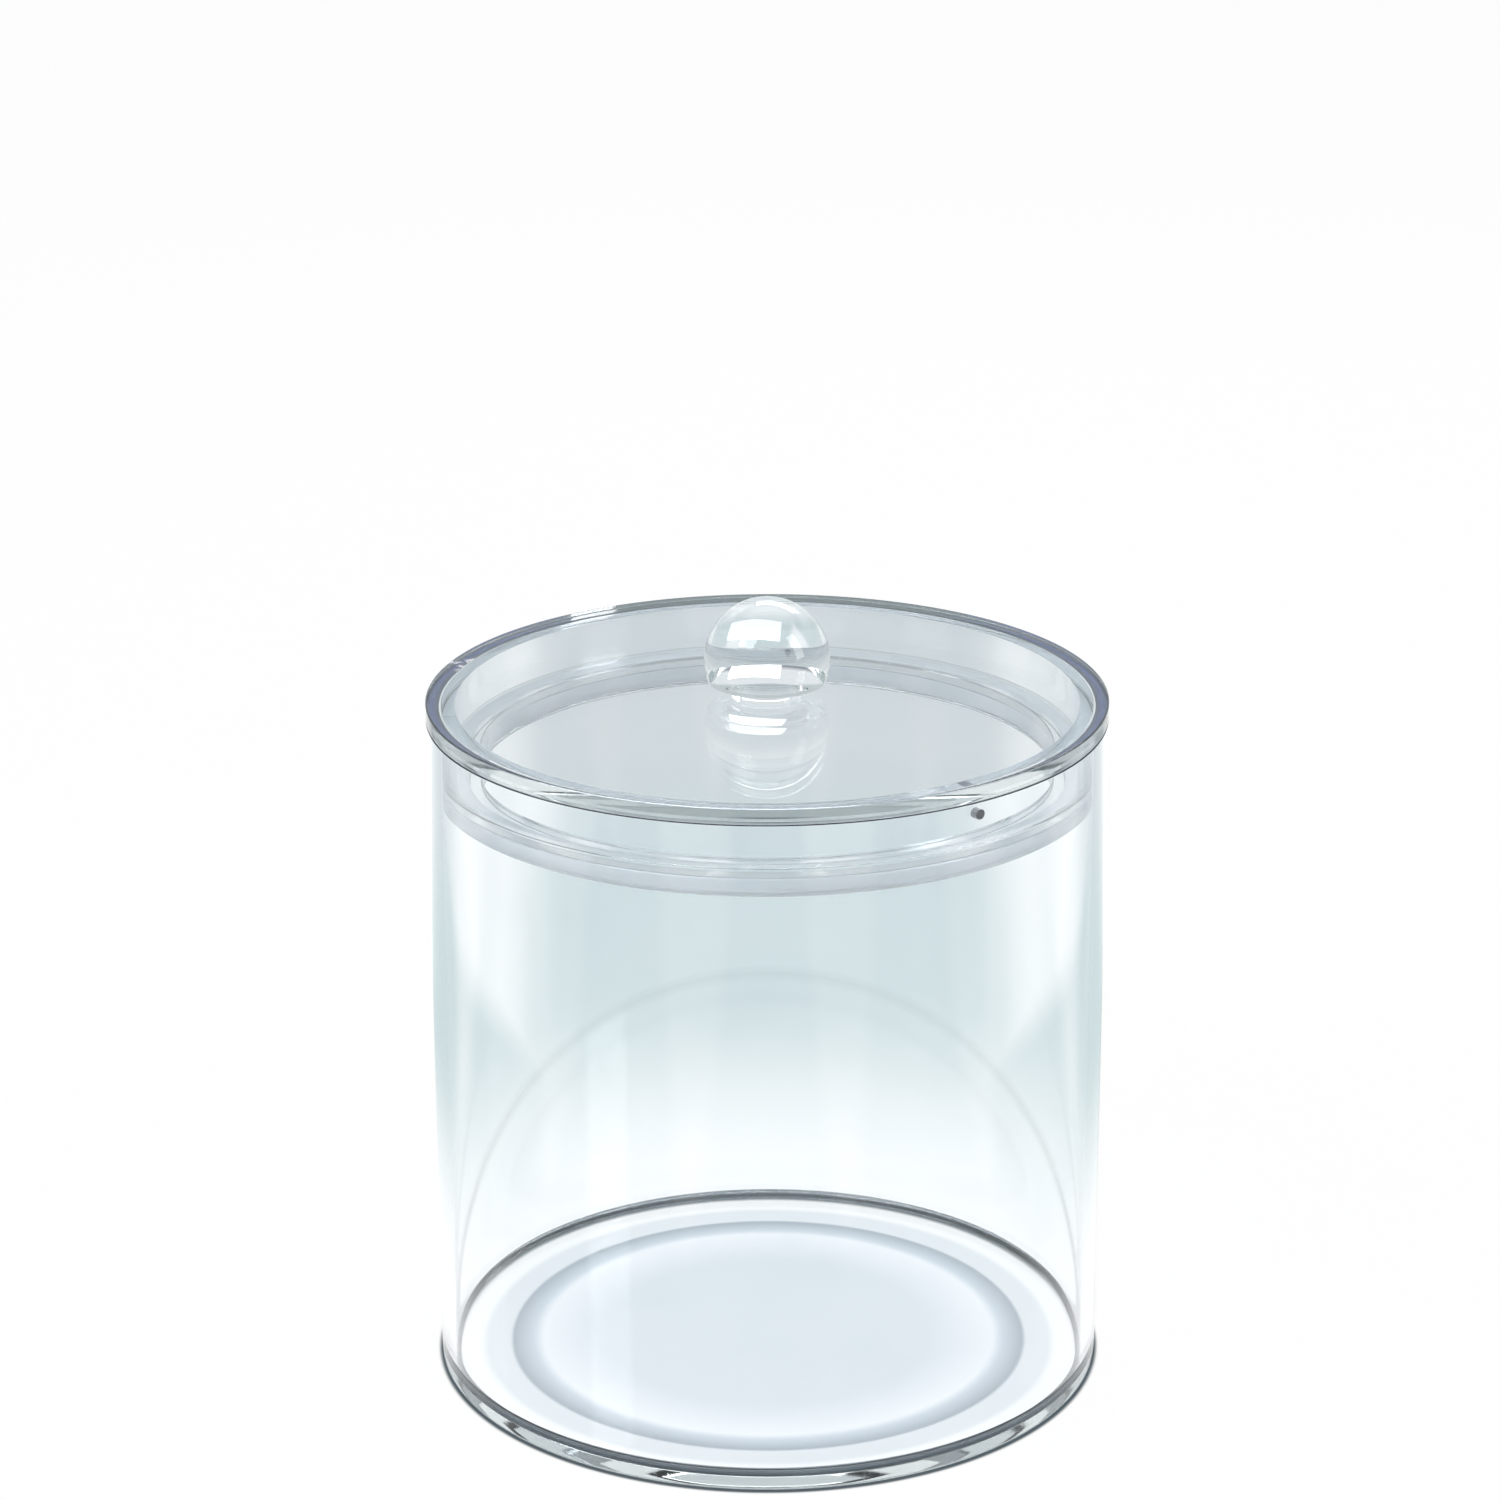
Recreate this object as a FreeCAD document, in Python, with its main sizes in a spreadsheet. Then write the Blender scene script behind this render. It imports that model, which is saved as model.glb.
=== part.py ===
import FreeCAD, Part
import os
import Sketcher

# Clear cylindrical jar with a lift-off plug lid, in millimetres.
# +Z is up. The origin is the centre of the base's underside, and the jar, the lid and the knob
# share the vertical axis through it. The lid is modelled seated on the jar's rim.
#
# The jar is a tube standing on a disc of its own diameter. The lid is a disc of that diameter
# with a short tube under it, the plug, that drops into the jar. A flat ring closes in the foot
# of the plug, a narrow hoop stands below that ring, and the soft seal is stretched round the hoop.
# A turned ball knob stands on the lid.

# Driving dimensions: name, value and what it measures
DIMENSIONS = [
    ("jar_diameter", 200.0, "outside diameter of the tube, the base disc and the lid plate"),
    ("jar_wall", 4.0, "thickness of the jar's tube"),
    ("jar_height", 203.0, "from the underside of the base to the rim"),
    ("base_thickness", 4.5, "thickness of the base disc"),
    ("base_edge_radius", 1.0, "rounding of the base disc's lower edge"),
    ("rim_edge_radius", 0.3, "rounding of the rim's two edges"),
    ("joint_edge_break", 0.25, "small bevel where two cemented pieces meet in view"),
    ("plate_thickness", 5.0, "thickness of the lid plate"),
    ("plate_edge_radius", 0.5, "rounding of the lid plate's two edges"),
    ("plug_clearance", 0.5, "radial gap between the plug's tube and the jar's bore"),
    ("plug_depth", 22.6, "how far the lid reaches down into the jar"),
    ("plug_wall", 4.0, "thickness of the plug's tube"),
    ("flange_thickness", 3.0, "thickness of the flat ring at the plug's foot"),
    ("vent_diameter", 3.0, "air hole through the plug's tube"),
    ("vent_drop", 5.0, "from the underside of the lid plate to the air hole's centre"),
    ("vent_angle", 307.5, "direction of the air hole, in degrees from +X"),
    ("hoop_wall", 3.5, "thickness of the hoop that carries the seal"),
    ("hoop_vent_diameter", 4.0, "hole through the hoop, behind the seal"),
    ("hoop_vent_angle", 99.5, "direction of the hoop's hole, in degrees from +X"),
    ("seal_clearance", 0.3, "radial gap between the seal and the jar's bore"),
    ("seal_seat_clearance", 0.1, "radial gap between the seal and the hoop"),
    ("seal_width", 8.0, "radial room for the seal, from the hoop to its widest line"),
    ("seal_height", 6.0, "height of the seal and of the hoop"),
    ("seal_edge_radius", 2.5, "rounding of the seal's lower outer edge"),
    ("seal_slit", 0.3, "gap between the seal's two butted ends"),
    ("seal_slit_angle", 181.7, "direction of the seal's butted ends, in degrees from +X"),
    ("knob_diameter", 37.0, "diameter of the knob's ball"),
    ("knob_height", 29.0, "from the lid plate to the top of the knob"),
    ("knob_underside", 4.2, "from the lid plate to the flat underside of the ball"),
    ("knob_neck_diameter", 15.4, "diameter of the neck between the ball and the foot"),
    ("knob_foot_diameter", 20.8, "diameter of the foot cemented to the lid plate"),
    ("knob_foot_thickness", 1.2, "thickness of the foot"),
    ("knob_cove_radius", 0.8, "hollow where the neck meets the ball and the foot"),
    ("knob_edge_radius", 0.4, "rounding of the ball's lower edge and of the foot's edge"),
]

# Radii and heights worked out from the driving dimensions
JAR_RADIUS = "(Dimensions.jar_diameter / 2)"
BORE_RADIUS = f"({JAR_RADIUS} - Dimensions.jar_wall)"
TUBE_HEIGHT = "(Dimensions.jar_height - Dimensions.base_thickness)"

PLUG_RADIUS = f"({BORE_RADIUS} - Dimensions.plug_clearance)"
PLUG_BORE_RADIUS = f"({PLUG_RADIUS} - Dimensions.plug_wall)"
SEAL_RADIUS = f"({BORE_RADIUS} - Dimensions.seal_clearance)"
HOOP_RADIUS = f"({SEAL_RADIUS} - Dimensions.seal_width)"
SEAL_BORE_RADIUS = f"({HOOP_RADIUS} + Dimensions.seal_seat_clearance)"
HOOP_BORE_RADIUS = f"({HOOP_RADIUS} - Dimensions.hoop_wall)"

PLUG_FOOT_LEVEL = "(Dimensions.jar_height - Dimensions.plug_depth)"
FLANGE_LEVEL = f"({PLUG_FOOT_LEVEL} + Dimensions.seal_height)"
PLUG_TUBE_LEVEL = f"({FLANGE_LEVEL} + Dimensions.flange_thickness)"
PLUG_TUBE_HEIGHT = f"(Dimensions.jar_height - {PLUG_TUBE_LEVEL})"
KNOB_LEVEL = "(Dimensions.jar_height + Dimensions.plate_thickness)"

KNOB_RADIUS = "(Dimensions.knob_diameter / 2)"
KNOB_CENTRE_HEIGHT = f"(Dimensions.knob_height - {KNOB_RADIUS})"
NECK_RADIUS = "(Dimensions.knob_neck_diameter / 2)"
FOOT_RADIUS = "(Dimensions.knob_foot_diameter / 2)"

# How closely an edge has to lie to the place where it is looked for, as a share of the jar
SEARCH_SHARE = 1e-6

# A sketch numbers its own axes down from -1, and the points of a curve up from 1
ORIGIN_POINT = (-1, 1)
HORIZONTAL_AXIS, VERTICAL_AXIS = range(-1, -3, -1)
START, END, CENTRE = range(1, 4)

doc = FreeCAD.newDocument("clear_jar")
sheet = doc.addObject("Spreadsheet::Sheet", "Dimensions")
for row, (alias, number, meaning) in enumerate(DIMENSIONS, start=1):
    sheet.set(f"A{row}", alias)
    sheet.set(f"B{row}", str(number))
    sheet.setAlias(f"B{row}", alias)
    sheet.set(f"C{row}", meaning)
doc.recompute()


def value(expression):
    """The number that an expression over the sheet gives now."""
    return float(sheet.evalExpression(expression))


def new_body(node, level, angle=None):
    """A body named for its node, lifted to its level and turned about the jar's axis."""
    body = doc.addObject("PartDesign::Body", node)
    body.Label = node
    body.setExpression("Placement.Base.z", level)
    if angle:
        body.Placement.Rotation.Axis = FreeCAD.Vector(0, 0, 1)
        body.setExpression("Placement.Rotation.Angle", angle)
    return body


def new_sketch(body, name, plane_role):
    """A sketch on one of the body's own origin planes."""
    sketch = body.newObject("Sketcher::SketchObject", name)
    plane = next(item for item in body.Origin.OriginFeatures if item.Role == plane_role)
    sketch.AttachmentSupport = (plane, [""])
    sketch.MapMode = "FlatFace"
    return sketch


def bind(sketch, constraint, expression):
    """Adds a dimension to a sketch and ties it to the sheet."""
    number = sketch.addConstraint(constraint)
    sketch.setExpression(f"Constraints[{number}]", expression)


def add_circle(sketch, radius):
    """A circle round the sketch's origin."""
    circle = sketch.addGeometry(Part.Circle(FreeCAD.Vector(), FreeCAD.Vector(0, 0, 1), value(radius)))
    sketch.addConstraint(Sketcher.Constraint("Coincident", circle, CENTRE, *ORIGIN_POINT))
    bind(sketch, Sketcher.Constraint("Radius", circle, value(radius)), radius)


def pad(body, sketch, height):
    """Raises a sketch by a height."""
    feature = body.newObject("PartDesign::Pad", f"{body.Name}_pad")
    feature.Profile = sketch
    feature.setExpression("Length", height)
    doc.recompute()
    return feature


def disc(node, radius, thickness, level):
    """A round plate."""
    body = new_body(node, level)
    sketch = new_sketch(body, f"{node}_outline", "XY_Plane")
    add_circle(sketch, radius)
    return body, pad(body, sketch, thickness)


def ring(node, radius, bore_radius, height, level, angle=None):
    """A tube or a flat ring."""
    body = new_body(node, level, angle)
    sketch = new_sketch(body, f"{node}_outline", "XY_Plane")
    add_circle(sketch, radius)
    add_circle(sketch, bore_radius)
    return body, pad(body, sketch, height)


def edges_at(feature, places):
    """The names of a feature's round edges at the given radii and heights."""
    slack = SEARCH_SHARE * value(JAR_RADIUS)
    names = []
    for number, edge in enumerate(feature.Shape.Edges, start=1):
        if edge.Degenerated or not isinstance(edge.Curve, Part.Circle):
            continue
        for radius, height in places:
            same_radius = abs(edge.Curve.Radius - value(radius)) < slack
            same_height = abs(edge.Curve.Center.z - value(height)) < slack
            if same_radius and same_height:
                names.append(f"Edge{number}")
    if len(names) < len(places):
        raise ValueError(f"{feature.Name}: an edge to be worked is missing")
    return names


def round_edges(body, feature, name, radius, places):
    """Rounds a feature's edges at the given radii and heights."""
    fillet = body.newObject("PartDesign::Fillet", f"{body.Name}_{name}")
    fillet.Base = (feature, edges_at(feature, places))
    fillet.setExpression("Radius", radius)
    doc.recompute()
    return fillet


def bevel_edges(body, feature, name, size, places):
    """Bevels a feature's edges at the given radii and heights."""
    chamfer = body.newObject("PartDesign::Chamfer", f"{body.Name}_{name}")
    chamfer.Base = (feature, edges_at(feature, places))
    chamfer.setExpression("Size", size)
    doc.recompute()
    return chamfer


def cut_through_side(body, sketch, name):
    """Cuts a sketch through the side of a ring that lies on the body's own +X."""
    before = body.Shape.Volume
    pocket = body.newObject("PartDesign::Pocket", f"{body.Name}_{name}")
    pocket.Profile = sketch
    pocket.Type = "ThroughAll"
    pocket.Reversed = True
    doc.recompute()
    if not pocket.Shape.Volume < before:
        raise ValueError(f"{pocket.Name} cuts nothing")
    return pocket


def drill_side(body, name, diameter, height):
    """Drills a round hole through the side of a ring, at a height above its foot."""
    sketch = new_sketch(body, f"{body.Name}_{name}_outline", "YZ_Plane")
    centre = FreeCAD.Vector(0, value(height), 0)
    radius = f"({diameter} / 2)"
    circle = sketch.addGeometry(Part.Circle(centre, FreeCAD.Vector(0, 0, 1), value(radius)))
    sketch.addConstraint(Sketcher.Constraint("PointOnObject", circle, CENTRE, VERTICAL_AXIS))
    rise = Sketcher.Constraint("DistanceY", *ORIGIN_POINT, circle, CENTRE, value(height))
    bind(sketch, rise, height)
    bind(sketch, Sketcher.Constraint("Radius", circle, value(radius)), radius)
    return cut_through_side(body, sketch, name)


def place_point(sketch, line, end, across, up):
    """Holds the end of a line at its distances from the axis and from the foot."""
    if across == "0":
        sketch.addConstraint(Sketcher.Constraint("PointOnObject", line, end, VERTICAL_AXIS))
    else:
        reach = Sketcher.Constraint("DistanceX", *ORIGIN_POINT, line, end, value(across))
        bind(sketch, reach, across)
    if up == "0":
        sketch.addConstraint(Sketcher.Constraint("PointOnObject", line, end, HORIZONTAL_AXIS))
    else:
        rise = Sketcher.Constraint("DistanceY", *ORIGIN_POINT, line, end, value(up))
        bind(sketch, rise, up)


# The jar

base_disc, feature = disc("jar_base", JAR_RADIUS, "Dimensions.base_thickness", "0")
feature = round_edges(base_disc, feature, "foot_round", "Dimensions.base_edge_radius", [(JAR_RADIUS, "0")])
bevel_edges(
    base_disc, feature, "joint_bevel", "Dimensions.joint_edge_break",
    [(JAR_RADIUS, "Dimensions.base_thickness")])

jar_tube, feature = ring("jar_wall", JAR_RADIUS, BORE_RADIUS, TUBE_HEIGHT, "Dimensions.base_thickness")
feature = round_edges(
    jar_tube, feature, "rim_round", "Dimensions.rim_edge_radius",
    [(JAR_RADIUS, TUBE_HEIGHT), (BORE_RADIUS, TUBE_HEIGHT)])
bevel_edges(jar_tube, feature, "joint_bevel", "Dimensions.joint_edge_break", [(JAR_RADIUS, "0")])

# The lid plate and its plug

lid_disc, feature = disc("lid_plate", JAR_RADIUS, "Dimensions.plate_thickness", "Dimensions.jar_height")
round_edges(
    lid_disc, feature, "edge_round", "Dimensions.plate_edge_radius",
    [(JAR_RADIUS, "0"), (JAR_RADIUS, "Dimensions.plate_thickness")])

plug_tube, feature = ring(
    "plug_wall", PLUG_RADIUS, PLUG_BORE_RADIUS, PLUG_TUBE_HEIGHT, PLUG_TUBE_LEVEL, "Dimensions.vent_angle")
drill_side(plug_tube, "vent", "Dimensions.vent_diameter", f"({PLUG_TUBE_HEIGHT} - Dimensions.vent_drop)")

ring("plug_flange", PLUG_RADIUS, HOOP_BORE_RADIUS, "Dimensions.flange_thickness", FLANGE_LEVEL)

# The hoop and the seal round it

hoop, feature = ring(
    "seal_hoop", HOOP_RADIUS, HOOP_BORE_RADIUS, "Dimensions.seal_height", PLUG_FOOT_LEVEL,
    "Dimensions.hoop_vent_angle")
drill_side(hoop, "vent", "Dimensions.hoop_vent_diameter", "(Dimensions.seal_height / 2)")

seal, feature = ring(
    "seal_ring", SEAL_RADIUS, SEAL_BORE_RADIUS, "Dimensions.seal_height", PLUG_FOOT_LEVEL,
    "Dimensions.seal_slit_angle")
feature = round_edges(
    seal, feature, "outer_round", "Dimensions.seal_edge_radius", [(SEAL_RADIUS, "0")])

slit = new_sketch(seal, "seal_slit_outline", "YZ_Plane")
HALF_SLIT = "(Dimensions.seal_slit / 2)"
slit_corners = [
    (f"(-{HALF_SLIT})", "0"),
    (HALF_SLIT, "0"),
    (HALF_SLIT, "Dimensions.seal_height"),
    (f"(-{HALF_SLIT})", "Dimensions.seal_height"),
]
slit_points = [FreeCAD.Vector(value(across), value(up), 0) for across, up in slit_corners]
for number, (across, up) in enumerate(slit_corners):
    after = (number + 1) % len(slit_corners)
    slit.addGeometry(Part.LineSegment(slit_points[number], slit_points[after]))
for number, (across, up) in enumerate(slit_corners):
    slit.addConstraint(Sketcher.Constraint("Coincident", number - 1 if number else 3, END, number, START))
    place_point(slit, number, START, across, up)
cut_through_side(seal, slit, "slit")

# The knob, turned about its axis: foot, neck, flat underside and ball

knob = new_body("knob", KNOB_LEVEL)
outline = new_sketch(knob, "knob_outline", "XZ_Plane")
underside_drop = value(KNOB_CENTRE_HEIGHT) - value("Dimensions.knob_underside")
underside_reach = (value(KNOB_RADIUS) ** 2 - underside_drop ** 2) ** 0.5
turned_corners = [
    ("0", "0"),
    (FOOT_RADIUS, "0"),
    (FOOT_RADIUS, "Dimensions.knob_foot_thickness"),
    (NECK_RADIUS, "Dimensions.knob_foot_thickness"),
    (NECK_RADIUS, "Dimensions.knob_underside"),
]
turned_points = [FreeCAD.Vector(value(across), value(up), 0) for across, up in turned_corners]
turned_points.append(FreeCAD.Vector(underside_reach, value("Dimensions.knob_underside"), 0))
for number, (across, up) in enumerate(turned_corners):
    outline.addGeometry(Part.LineSegment(turned_points[number], turned_points[number + 1]))
    place_point(outline, number, START, across, up)
    if number:
        outline.addConstraint(Sketcher.Constraint("Coincident", number - 1, END, number, START))
underside_line = len(turned_corners) - 1
outline.addConstraint(Sketcher.Constraint("Horizontal", underside_line))

ball_centre = FreeCAD.Vector(0, value(KNOB_CENTRE_HEIGHT), 0)
ball_top = FreeCAD.Vector(0, value("Dimensions.knob_height"), 0)
ball_circle = Part.Circle(ball_centre, FreeCAD.Vector(0, 0, 1), value(KNOB_RADIUS))
ball_arc = outline.addGeometry(Part.ArcOfCircle(
    ball_circle, ball_circle.parameter(turned_points[-1]), ball_circle.parameter(ball_top)))
outline.addConstraint(Sketcher.Constraint("Coincident", underside_line, END, ball_arc, START))
outline.addConstraint(Sketcher.Constraint("PointOnObject", ball_arc, CENTRE, VERTICAL_AXIS))
place_point(outline, ball_arc, END, "0", "Dimensions.knob_height")
bind(outline, Sketcher.Constraint("Radius", ball_arc, value(KNOB_RADIUS)), KNOB_RADIUS)
axis_line = outline.addGeometry(Part.LineSegment(ball_top, turned_points[0]))
outline.addConstraint(Sketcher.Constraint("Coincident", ball_arc, END, axis_line, START))
outline.addConstraint(Sketcher.Constraint("Coincident", axis_line, END, 0, START))

turned = knob.newObject("PartDesign::Revolution", "knob_turned")
turned.Profile = outline
turned.ReferenceAxis = (outline, ["V_Axis"])
doc.recompute()
turned = round_edges(
    knob, turned, "cove", "Dimensions.knob_cove_radius",
    [(NECK_RADIUS, "Dimensions.knob_foot_thickness"), (NECK_RADIUS, "Dimensions.knob_underside")])
UNDERSIDE_RADIUS = f"sqrt({KNOB_RADIUS} ^ 2 - ({KNOB_CENTRE_HEIGHT} - Dimensions.knob_underside) ^ 2)"
round_edges(
    knob, turned, "edge_round", "Dimensions.knob_edge_radius",
    [(FOOT_RADIUS, "Dimensions.knob_foot_thickness"), (UNDERSIDE_RADIUS, "Dimensions.knob_underside")])

# Everything is checked before anything is written

doc.recompute()
faulty = [item.Name for item in doc.Objects if {"Invalid", "Error"} & set(item.State)]
if faulty:
    raise RuntimeError(f"objects that did not compute: {faulty}")
nodes = [item for item in doc.Objects if item.TypeId == "PartDesign::Body"]
for node in nodes:
    if node.Shape.isNull() or not node.Shape.isValid() or len(node.Shape.Solids) != 1:
        raise RuntimeError(f"{node.Label} is not one sound solid")

os.makedirs("parts", exist_ok=True)
for node in nodes:
    node.Shape.exportStep(f"parts/{node.Label}.step")
    box = node.Shape.BoundBox
    print(f"{node.Label:12s} volume {node.Shape.Volume / 1000:8.2f} cm3  z {box.ZMin:7.2f} to {box.ZMax:7.2f}")
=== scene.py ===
import logging
import math
from dataclasses import dataclass
from enum import Enum
from typing import Callable, Sequence

import bmesh
import bpy
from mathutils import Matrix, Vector


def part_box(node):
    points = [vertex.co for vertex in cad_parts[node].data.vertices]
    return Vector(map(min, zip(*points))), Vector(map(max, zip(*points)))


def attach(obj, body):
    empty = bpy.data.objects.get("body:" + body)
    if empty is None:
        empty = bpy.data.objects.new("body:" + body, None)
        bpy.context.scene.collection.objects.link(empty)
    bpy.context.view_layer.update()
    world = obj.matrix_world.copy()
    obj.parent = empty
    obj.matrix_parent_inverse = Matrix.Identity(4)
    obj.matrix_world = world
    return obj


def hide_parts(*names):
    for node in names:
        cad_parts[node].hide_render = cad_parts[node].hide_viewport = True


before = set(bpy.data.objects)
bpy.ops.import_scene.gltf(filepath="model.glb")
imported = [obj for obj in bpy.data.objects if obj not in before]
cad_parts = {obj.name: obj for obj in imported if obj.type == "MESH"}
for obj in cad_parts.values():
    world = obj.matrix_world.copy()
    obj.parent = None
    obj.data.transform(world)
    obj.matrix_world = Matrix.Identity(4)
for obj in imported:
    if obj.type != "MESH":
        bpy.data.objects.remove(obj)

# Looks of a clear jar with a lift-off plug lid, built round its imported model, in metres.
# Every piece is turned about +Z, the jar's axis. The jar stands on the floor at zero height.

MM = 0.001

# Facets round a turned piece and round a small hole.
AROUND = 256
HOLE_AROUND = 40

# How far cemented pieces sink into each other, and the air between pieces that only rest.
BOND = 0.02 * MM
REST_GAP = 0.03 * MM

# How near a vertex has to be to a named edge to belong to it.
TOUCH = 0.004 * MM

# How much of a face's normal has to point along Z for the face to be level, or to look upward at all.
LEVEL = 0.99
UPWARD = 0.5

# Where a disc's faces are ringed, in shares of its radius, each from the ring before.
DISC_RING_SHARES = (0.06, 0.34, 0.35)

# Over a hole's radius: how far the wall's extra edges keep from its centre, and how far its own faces reach.
HOLE_MARGIN = 1.3
HOLE_REACH = 1.02

# How much of a face's normal may point along a hole for the face to be the hole's side.
CROSSWISE = 0.2

# Shading: the sharpest angle that is smoothed, and how much broad faces set the normals.
SMOOTH_ANGLE = math.radians(34)
BROAD_FACE_WEIGHT = 100

ACRYLIC_IOR = 1.49

Piece = bpy.types.Object
Face = bmesh.types.BMFace
Node = bpy.types.Node
Socket = bpy.types.NodeSocket
Tree = bpy.types.NodeTree
Place = tuple[float, float, float]
Colour = tuple[float, float, float]
Steps = Sequence[tuple[float, Colour]]
Input = Socket | float | Place

WHITE: Colour = (1, 1, 1)

log = logging.getLogger("jar")


class Stock(Enum):
    """What a clear piece is made from, which sets how tightly its surface waves along each axis."""

    TUBE = (5.0, 5.0, 0.5)
    SHEET = (4.0, 4.0, 4.0)
    TURNED = (1.0, 1.0, 60.0)


# Modelling helpers


def deselect() -> None:
    """Leaves edit mode and selects nothing."""
    if bpy.context.object and bpy.context.object.mode != "OBJECT":
        bpy.ops.object.mode_set(mode="OBJECT")
    bpy.ops.object.select_all(action="DESELECT")


def pick(piece: Piece) -> None:
    """Makes a piece the only selected and active one.

    Args:
        piece: the piece.
    """
    deselect()
    piece.select_set(True)
    bpy.context.view_layer.objects.active = piece


def edit(piece: Piece, mode: str = "FACE") -> bmesh.types.BMesh:
    """Opens a piece in edit mode with nothing selected.

    Args:
        piece: the piece to open.
        mode: what is selected next, FACE or EDGE.

    Returns:
        The piece's open mesh.
    """
    pick(piece)
    bpy.ops.object.mode_set(mode="EDIT")
    bpy.ops.mesh.select_mode(type=mode)
    bpy.ops.mesh.select_all(action="DESELECT")
    return bmesh.from_edit_mesh(piece.data)


def select_faces(piece: Piece, test: Callable[[Face], bool]) -> None:
    """Opens a piece and selects the faces that pass a test.

    Args:
        piece: the piece to open.
        test: says of a face whether it is wanted.
    """
    mesh = edit(piece)
    for face in mesh.faces:
        if test(face):
            face.select_set(True)
    bmesh.update_edit_mesh(piece.data)


def select_ring(piece: Piece, radius: float, level: float) -> None:
    """Opens a piece and selects the round edge at a radius and a level.

    Args:
        piece: the piece to open.
        radius: distance of the edge from the jar's axis.
        level: height of the edge above the floor.
    """
    mesh = edit(piece, "EDGE")
    for edge in mesh.edges:
        if all(on_ring(vertex.co, radius, level) for vertex in edge.verts):
            edge.select_set(True)
    bmesh.update_edit_mesh(piece.data)


def on_ring(point: Vector, radius: float, level: float) -> bool:
    """Whether a point lies at a radius and a level."""
    return abs(math.hypot(point.x, point.y) - radius) < TOUCH and abs(point.z - level) < TOUCH


def is_level(face: Face) -> bool:
    """Whether a face looks straight up or down."""
    return abs(face.normal.z) > LEVEL


def add_drum(name: str, radius: float, low: float, high: float) -> Piece:
    """Adds a plain closed drum, the start of every turned piece but the knob.

    Args:
        name: the piece's name.
        radius: its radius.
        low: level of its underside.
        high: level of its top.

    Returns:
        The new piece, with its place in its mesh.
    """
    deselect()
    bpy.ops.mesh.primitive_cylinder_add(
        vertices=AROUND, radius=radius, depth=high - low, end_fill_type="NGON",
        location=(0, 0, (low + high) / 2))
    piece = bpy.context.object
    piece.name = piece.data.name = name
    bpy.ops.object.transform_apply(location=True, rotation=False, scale=False)
    return piece


def add_disc(name: str, radius: float, low: float, high: float) -> Piece:
    """Adds a round plate whose two faces are ringed and closed at a pole.

    Args:
        name: the piece's name.
        radius: its radius.
        low: level of its underside.
        high: level of its top.

    Returns:
        The new piece.
    """
    piece = add_drum(name, radius, low, high)
    select_faces(piece, is_level)
    for share in DISC_RING_SHARES:
        bpy.ops.mesh.inset(thickness=radius * share, depth=0)
    bpy.ops.mesh.poke()
    deselect()
    return piece


def add_tube(name: str, radius: float, bore: float, low: float, high: float) -> Piece:
    """Adds a tube or a flat ring: a drum whose inset ends are bridged through.

    Args:
        name: the piece's name.
        radius: outside radius.
        bore: inside radius.
        low: level of its underside.
        high: level of its top.

    Returns:
        The new piece.
    """
    piece = add_drum(name, radius, low, high)
    select_faces(piece, is_level)
    bpy.ops.mesh.inset(thickness=(radius - bore) * math.cos(math.pi / AROUND), depth=0)
    bpy.ops.mesh.bridge_edge_loops()
    bpy.ops.mesh.select_all(action="SELECT")
    bpy.ops.mesh.normals_make_consistent(inside=False)
    deselect()
    return piece


def round_ring(piece: Piece, radius: float, level: float, size: float, steps: int) -> None:
    """Rounds the edge at a radius and a level.

    Args:
        piece: the piece to work on.
        radius: distance of the edge from the jar's axis.
        level: height of the edge above the floor.
        size: radius of the rounding.
        steps: number of facets across it.
    """
    select_ring(piece, radius, level)
    bpy.ops.mesh.bevel(offset=size, segments=steps, profile=0.5, affect="EDGES", offset_type="OFFSET")
    deselect()


def mark_ring(piece: Piece, radius: float, level: float, size: float, number: int) -> None:
    """Gives the rounding at a radius and a level a finish of its own.

    Args:
        piece: the rounded piece.
        radius: distance of the rounding from the jar's axis.
        level: its height above the floor.
        size: its radius.
        number: the finish's number on this piece.
    """
    for face in piece.data.polygons:
        away = math.hypot(*face.center.xy) - radius
        if abs(away) < size and abs(face.center.z - level) < size:
            face.material_index = number


def cut_level(piece: Piece, level: float) -> None:
    """Adds a loop of edges round a piece at a level.

    Args:
        piece: the piece.
        level: height of the loop above the floor.
    """
    edit(piece)
    bpy.ops.mesh.select_all(action="SELECT")
    bpy.ops.mesh.bisect(plane_co=(0, 0, level), plane_no=(0, 0, 1))
    deselect()


def apply_cut(piece: Piece, cutter: Piece) -> None:
    """Cuts one mesh out of a piece and removes the cutter.

    Args:
        piece: the piece that is cut.
        cutter: the mesh that is taken out of it.
    """
    cut = piece.modifiers.new("cut", "BOOLEAN")
    cut.object = cutter
    cut.operation = "DIFFERENCE"
    cut.solver = "EXACT"
    pick(piece)
    bpy.ops.object.modifier_apply(modifier=cut.name)
    bpy.data.objects.remove(cutter)


def drill(piece: Piece, radius: float, level: float, angle: float, middle: float, reach: float) -> None:
    """Drills a round hole through the side of a ring.

    Args:
        piece: the ring.
        radius: the hole's radius.
        level: height of its centre.
        angle: its direction from +X, in degrees.
        middle: distance of the wall's middle from the jar's axis.
        reach: length of the drill through the wall.
    """
    for margin in (-HOLE_MARGIN, HOLE_MARGIN):
        cut_level(piece, level + radius * margin)
    turn = math.radians(angle)
    deselect()
    bpy.ops.mesh.primitive_cylinder_add(
        vertices=HOLE_AROUND, radius=radius, depth=reach,
        location=(middle * math.cos(turn), middle * math.sin(turn), level), rotation=(0, math.pi / 2, turn))
    apply_cut(piece, bpy.context.object)


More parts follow.
